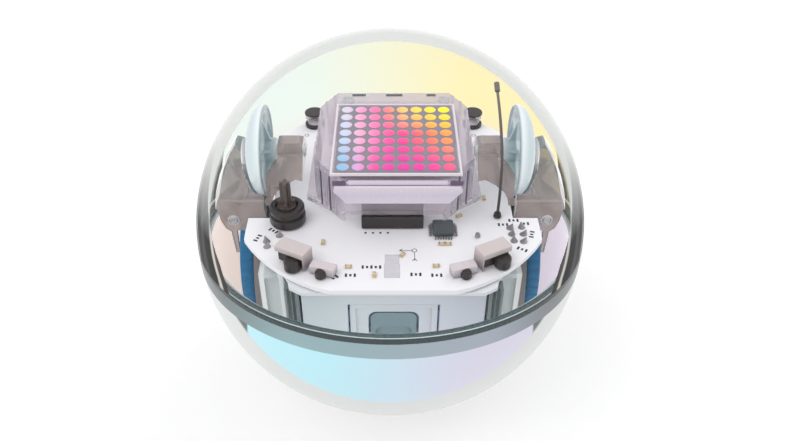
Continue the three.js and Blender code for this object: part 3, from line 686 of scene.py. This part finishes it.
def chip_leads():
    """Bent leads on the four sides of the controller chip: shoulder, drop and foot."""
    leads = []
    for side in range(4):
        angle = side * math.pi / 2
        for pin in range(CHIP["pins"]):
            along = (pin - (CHIP["pins"] - 1) / 2) * CHIP["pitch"]
            for reach, z, size in ((CHIP["half"] + 0.2, 8.5, 0.4), (CHIP["half"] + 0.45, 8.12, 0.5)):
                x = CHIP["x"] + reach * math.cos(angle) - along * math.sin(angle)
                y = CHIP["y"] + reach * math.sin(angle) + along * math.cos(angle)
                leads.append((x, y, z, size, 0.2, 0.14, math.degrees(angle)))
            x = CHIP["x"] + (CHIP["half"] + 0.36) * math.cos(angle) - along * math.sin(angle)
            y = CHIP["y"] + (CHIP["half"] + 0.36) * math.sin(angle) + along * math.cos(angle)
            leads.append((x, y, 8.3, 0.12, 0.2, 0.5, math.degrees(angle)))
    return leads


SMALL_CHIPS = [(-11.5, -16.0, 90), (-6.9, -22.2, 0), (-2.6, -24.2, 90), (7.6, -22.0, 0), (2.0, -19.2, 60),
               (17.2, -3.3, 90), (12.3, -8.6, 30), (8.8, -16.4, 0), (9.9, -16.4, 0), (17.8, 3.2, 90),
               (-17.5, 6.5, 0), (-17.8, 12.0, 90), (18.2, 12.5, 0), (-8.0, 24.0, 0), (6.5, 24.5, 90)]


def small_chip_blocks():
    """Bodies and end caps of the board's small chips, each given as (x, y, turn)."""
    bodies, ends = [], []
    for x, y, turn in SMALL_CHIPS:
        c, d = math.cos(math.radians(turn)), math.sin(math.radians(turn))
        bodies.append((x, y, 8.24, 0.7, 0.6, 0.4, turn))
        for side in (-0.45, 0.45):
            ends.append((x + side * c, y + side * d, 8.24, 0.24, 0.64, 0.45, turn))
    return bodies, ends


blocks_piece("chip_leads", chip_leads(), SOLDER, "brushed_metal", 0.02)
ceramic_blocks, end_blocks = small_chip_blocks()
blocks_piece("small_chips", ceramic_blocks, CERAMIC, "gear_brass", 0.06)
blocks_piece("small_chip_ends", end_blocks, GOLD, "gear_brass", 0.06)

TEARDROP = [(0, 1.25), (0.12, 1.1), (0.26, 0.75), (0.44, 0.4), (0.6, 0.12), (0.66, 0.0), (0, 0)]
SOLDER_TIPS = (0.3, -0.2, 0.15, 0.35, -0.1)
SOLDER_POINTS = [(21.0, -11.9), (23.1, -11.7), (21.1, -13.6), (23.1, -13.6), (21.3, -15.4),
                 (22.9, -15.6), (-21.2, -15.6), (-19.2, -14.0), (-21.0, -16.9)]
solder_spots = [(x, y, BOARD_TOP) for x, y in SOLDER_POINTS]
copies_piece("solder_points", TEARDROP, solder_spots, SOLDER, "brushed_metal", 18, SOLDER_TIPS)

VIA = [(0, 0.05), (0.2, 0.05), (0.22, 0.0), (0.22, -0.02), (0, -0.02)]
via_spots = [(-4.3 + 1.3 * i, -13.2, BOARD_TOP) for i in range(4)]
copies_piece("board_vias", VIA, via_spots, MARK, "black_plastic", 16)

DOME_CAP = [(0, 1.45), (0.35, 1.4), (0.65, 1.2), (0.85, 0.9), (0.92, 0.5), (0.92, 0.0), (0, 0)]
eye_spots = [(BOARD_X + side * 11.835, -24.615, BOARD_TOP + 0.3) for _, side in SIDES]
copies_piece("sensor_domes", DOME_CAP, eye_spots, BLACK, "black_plastic", 28)
TEST_POST = [(r * 0.5, h * 0.7) for r, h in DOME_CAP]
copies_piece("test_post", TEST_POST, [(15.1, -14.3, BOARD_TOP)], SOLDER, "brushed_metal", 20)

# short rows of printed dashes: x, y, how many and turn in degrees
LABELS = [(-20.4, -12.6, 3, -35), (-22.9, -14.6, 3, 65), (-6.5, -24.1, 3, 0), (-3.1, -22.1, 5, 0),
          (4.2, -23.9, 3, 0), (7.6, -24.1, 3, 0), (21.9, -9.7, 3, 0), (19.9, -10.9, 3, 0),
          (24.0, -10.6, 2, 0), (24.6, -13.6, 3, 75), (22.4, -17.6, 3, -30), (-9.0, -24.6, 2, 40)]


LABEL_PITCH = 0.72
MARK_Z = BOARD_TOP + 0.015
AXIS_MARK = (4.1, -17.9)


def mark_blocks():
    """Generic printed dashes beside the parts, and the board's axis arrows."""
    marks = []
    for x, y, count, turn in LABELS:
        c, d = math.cos(math.radians(turn)), math.sin(math.radians(turn))
        for i in range(count):
            along = (i - (count - 1) / 2) * LABEL_PITCH
            tall = 0.8 if (i + count) % 2 else 0.55
            marks.append((x + along * c, y + along * d, MARK_Z, 0.36, tall, 0.03, turn))
    x, y = AXIS_MARK
    marks += [(x - 1.4, y, MARK_Z, 2.2, 0.09, 0.03, 0), (x, y - 1.5, MARK_Z, 0.09, 2.2, 0.03, 0)]
    for side in (-1, 1):
        marks.append((x - 2.25, y + side * 0.2, MARK_Z, 0.65, 0.1, 0.03, side * 35))
        marks.append((x + side * 0.2, y - 2.4, MARK_Z, 0.1, 0.65, 0.03, side * 35))
    return marks


blocks_piece("board_marks", mark_blocks(), MARK, "black_plastic", 0.005)
AXIS_RING = [(0.36, 0.03), (0.46, 0.03), (0.46, 0.0), (0.36, 0.0)]
ring_spots = [(x, y, BOARD_TOP) for x, y in (AXIS_MARK, (-17.2, 18.6), (17.2, 18.6))]
copies_piece("axis_ring", AXIS_RING, ring_spots, MARK, "black_plastic", 28)

POST_CAP = [(0, 0.0), (1.95, 0.0), (1.98, 0.12), (1.9, 0.3), (0, 0.34)]
POST_FOOT = [(1.55, 0.0), (1.95, 0.0), (1.98, 0.6), (1.8, 0.75), (1.55, 0.75)]
POST = {"x": 16.5, "y": 22.6, "top": 10.92}
for part, profile, height in (("post_caps", POST_CAP, POST["top"]),
                              ("post_feet", POST_FOOT, BOARD_TOP + 0.05)):
    spots = [(TOWER_X + side * POST["x"], POST["y"], height) for _, side in SIDES]
    copies_piece(part, profile, spots, BLACK, "black_plastic", 32)

# ---------------------------------------------------------------- tower details
PANEL_X = 1.3
core_blocks = [(MATRIX["x"], MATRIX["y"], 15.4, 19.2, 19.6, 3.4, 0),
               (MATRIX["x"], MATRIX["y"], 13.2, 15.0, 16.0, 1.0, 0)]
shelf_blocks = [(PANEL_X, -12.15, 18.02, 16.8, 0.5, 0.76, 0), (PANEL_X, -12.1, 17.9, 17.4, 0.3, 0.4, 0)]
shelf_ends = [(PANEL_X + side * 9.9, -12.35, 18.0, 2.2, 0.36, 0.8, 0) for _, side in SIDES]
connector_blocks = [(0.4, -9.5, 11.95, 10.8, 1.8, 2.1, 0)]
blocks_piece("matrix_core", core_blocks, CORE, "pale_plastic", 0.5)
blocks_piece("matrix_shelf", shelf_blocks, CORE, "pale_plastic", 0.12)
blocks_piece("shelf_ends", shelf_ends, SHADE, "clear_housing", 0.1)
blocks_piece("connector_top", connector_blocks, SHADE, "black_plastic", 0.1)


def tower_rib_blocks():
    """Clear ribs on the housing's walls and feet, and the dark lines between them."""
    ribs, lines = [], []
    for _, side in SIDES:
        lean = side * 50
        for y in (-4.4, 8.4, 11.4):
            ribs.append((TOWER_X + side * 14.0, y, 14.1, 0.3, 0.4, 8.0, 0))
        for i, (x, y) in enumerate(((10.2, -10.9), (11.8, -9.0), (13.3, -7.2))):
            ribs.append((TOWER_X + side * x, y, 14.3, 0.45, 0.4, 7.8 - 0.4 * i, lean))
        ribs.append((TOWER_X + side * 14.6, -6.6, 10.5, 1.3, 0.8, 0.8, lean))
        ribs.append((TOWER_X + side * 10.4, -10.2, 10.6, 1.5, 0.7, 0.9, lean))
        for x, y in ((13.0, 15.0), (11.6, 17.2)):
            ribs.append((TOWER_X + side * x, y, 14.1, 0.5, 0.4, 7.8, side * -55))
        for i in range(5):
            lines.append((TOWER_X + side * 13.95, -3.2 + 3.0 * i, 14.0, 0.2, 0.22, 7.6, 0))
        for x, y in ((11.1, -10.0), (12.7, -8.2)):
            lines.append((TOWER_X + side * x, y, 14.2, 0.3, 0.22, 7.2, lean))
    return ribs, lines


rib_blocks, line_blocks = tower_rib_blocks()
blocks_piece("tower_ribs", rib_blocks, LENS, "clear_housing", 0.12)
blocks_piece("tower_lines", line_blocks, SHADE, "clear_housing", 0.05)
flange_blocks = [(TOWER_X + side * 12.0, -8.05, 10.32, 8.2, 0.34, 0.2, side * 36.2) for _, side in SIDES]
blocks_piece("flange_edges", flange_blocks, BORDER, "clear_housing", 0.05)
SCREW_BOSS = [(0, 0.1), (0.6, 0.1), (0.7, 0.35), (1.2, 0.35), (1.3, 0.2), (1.3, 0.0), (0, 0)]
boss_spots = [(-8.1, 14.2, 18.5), (10.4, 14.2, 18.5)]
copies_piece("tower_bosses", SCREW_BOSS, boss_spots, LENS, "clear_housing", 36)
slots = [(x, 16.6, 18.42, width, 0.7, 0.24, 0) for x, width in ((-6.1, 2.6), (0.8, 3.2), (8.0, 1.8))]
blocks_piece("tower_slots", slots, CHARCOAL, "charcoal_plastic", 0.05)

# ---------------------------------------------------------------- sprung brackets, discs and tyres
# ring round each pivot pin, on the hinge carrier's front face at EAR_FACE along Y
BOSS_RING = [(0.72, 0.0), (1.1, 0.0), (1.1, 0.2), (1.0, 0.32), (0.82, 0.32), (0.72, 0.2)]
EAR_FACE = -8.7
DISC_ROWS = 14
DISC_RIBS = {"count": 6, "half": 0.3, "section": [(20.9, 2.0), (21.6, 2.7), (22.8, 6.7), (23.9, 6.9),
                                                  (24.4, 2.0)]}
DISC = [(0, 15.3), (0.85, 15.3), (1.0, 15.45), (1.0, 20.5), (2.2, 20.5), (2.4, 20.7), (2.4, 24.1),
        (6.8, 23.5), (7.45, 22.5), (7.6, 22.4), (8.15, 22.4), (IDLER["radius"], 22.55)]
DISC += [(IDLER["radius"] * math.cos(a), IDLER["x"] + IDLER["bulge"] * math.sin(a))
         for a in (math.pi / 2 * i / DISC_ROWS for i in range(DISC_ROWS))]
DISC += [(0.0, IDLER["x"] + IDLER["bulge"]), (0.0, 24.6)]
TYRE = {"bead": 11.2, "radius": 13.4, "inner": 24.9, "outer": 27.5, "z": -6.6, "lugs": 48,
        "lug_points": 4, "groove": 0.22}


def laid_across(points, side, y, z):
    """Turned parts made about Z, laid along X on that side of the robot."""
    return [(side * pz, y + py, z + px) for px, py, pz in points]


def disc_mesh(name, side):
    """An idler disc with six ribs between its hub and its rim."""
    points, faces, _ = revolve(DISC, 96)
    points = laid_across(points, side, IDLER["y"], IDLER["z"])
    section = DISC_RIBS["section"]
    for i in range(DISC_RIBS["count"]):
        turn = Matrix.Rotation(2 * math.pi * i / DISC_RIBS["count"], 4, "X")
        start = len(points)
        for half in (-DISC_RIBS["half"], DISC_RIBS["half"]):
            for x, r in section:
                spot = turn @ Vector((side * x, half, r))
                points.append((spot.x, spot.y + IDLER["y"], spot.z + IDLER["z"]))
        count = len(section)
        faces.append([start + k for k in range(count)])
        faces.append([start + count + k for k in reversed(range(count))])
        faces += [[start + k, start + (k + 1) % count, start + count + (k + 1) % count, start + count + k]
                  for k in range(count)]
    return mesh_of(name, points, faces, sharp=35)


def tyre_mesh(name, side):
    """A ring whose tread has a shallow groove between lugs."""
    count = TYRE["lugs"] * TYRE["lug_points"]
    inner, outer, radius = TYRE["inner"], TYRE["outer"], TYRE["radius"]
    corner = [(radius - 0.7, 0.0), (radius - 0.2, 0.2), (radius, 0.6)]
    section = [(TYRE["bead"], inner)] + [(r, inner + h) for r, h in corner]
    section += [(r, outer - h) for r, h in reversed(corner)] + [(TYRE["bead"], outer)]
    points, faces, _ = revolve(section, count)
    grooved = []
    for number, (px, py, pz) in enumerate(points):
        reach = math.hypot(px, py)
        grooved_here = reach > radius - 0.3 and number % count % TYRE["lug_points"] == 0
        shrink = 1 - TYRE["groove"] / reach if grooved_here else 1
        grooved.append((px * shrink, py * shrink, pz))
    return mesh_of(name, laid_across(grooved, side, 0, TYRE["z"]), faces, sharp=30)


for side_name, side in SIDES:
    disc, tread, boss = (f"{kind}_{side_name}" for kind in ("idler_disc", "tread", "pivot_boss"))
    piece(disc, disc_mesh(disc, side), [SILVER], f"idler_{side_name}",
          "silver_plastic", f"idler_wheel_{side_name}")
    piece(tread, tyre_mesh(tread, side), [RUBBER], f"wheel_{side_name}",
          "tyre_rubber", f"tyre_{side_name}")
    boss_points, boss_faces, _ = revolve(BOSS_RING, 36)
    pin_low, pin_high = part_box(f"arm_pin_{side_name}")
    middle = (pin_low + pin_high) / 2 / MM
    boss_points = [(px + middle.x, EAR_FACE - pz, py + middle.z) for px, py, pz in boss_points]
    piece(boss, mesh_of(boss, boss_points, boss_faces), [LENS], "chassis", "smoke_plastic")

# ---------------------------------------------------------------- stage
FLOOR = 3.0  # metres from the middle to each side
floor_mesh = bpy.data.meshes.new("floor")
floor_corners = [(i * FLOOR, j * FLOOR, 0) for i, j in ((-1, -1), (1, -1), (1, 1), (-1, 1))]
floor_mesh.from_pydata(floor_corners, [], [(0, 1, 2, 3)])
floor = bpy.data.objects.new("floor", floor_mesh)
bpy.context.scene.collection.objects.link(floor)
floor.location.z = REST_Z * MM
paper = Surface("pale_floor")
floor_mesh.materials.append(paper.done(paper.principled(
    paper.mix(paper.noise(40.0), tint(176, 176, 177), tint(180, 180, 180)), 0.8,
    Emission_Color=tint(255, 255, 255), Emission_Strength=0.56)))

world = bpy.data.worlds.new("studio")
world.use_nodes = True
world.node_tree.nodes["Background"].inputs["Color"].default_value = WHITE
world.node_tree.nodes["Background"].inputs["Strength"].default_value = 0.8
bpy.context.scene.world = world


def softbox(name, place, size, power):
    """A square lamp at place, in metres, aimed at the middle of the ball."""
    light = bpy.data.lights.new(name, "AREA")
    light.size = size
    light.energy = power
    made = bpy.data.objects.new(name, light)
    made.location = place
    made.rotation_euler = (-Vector(place)).to_track_quat("-Z", "Y").to_euler()
    made.visible_glossy = False
    bpy.context.scene.collection.objects.link(made)


softbox("key", (-0.35, -0.25, 0.7), 0.45, 1.9)
softbox("rim", (0.4, 0.45, 0.5), 0.4, 1.0)

bpy.context.view_layer.update()
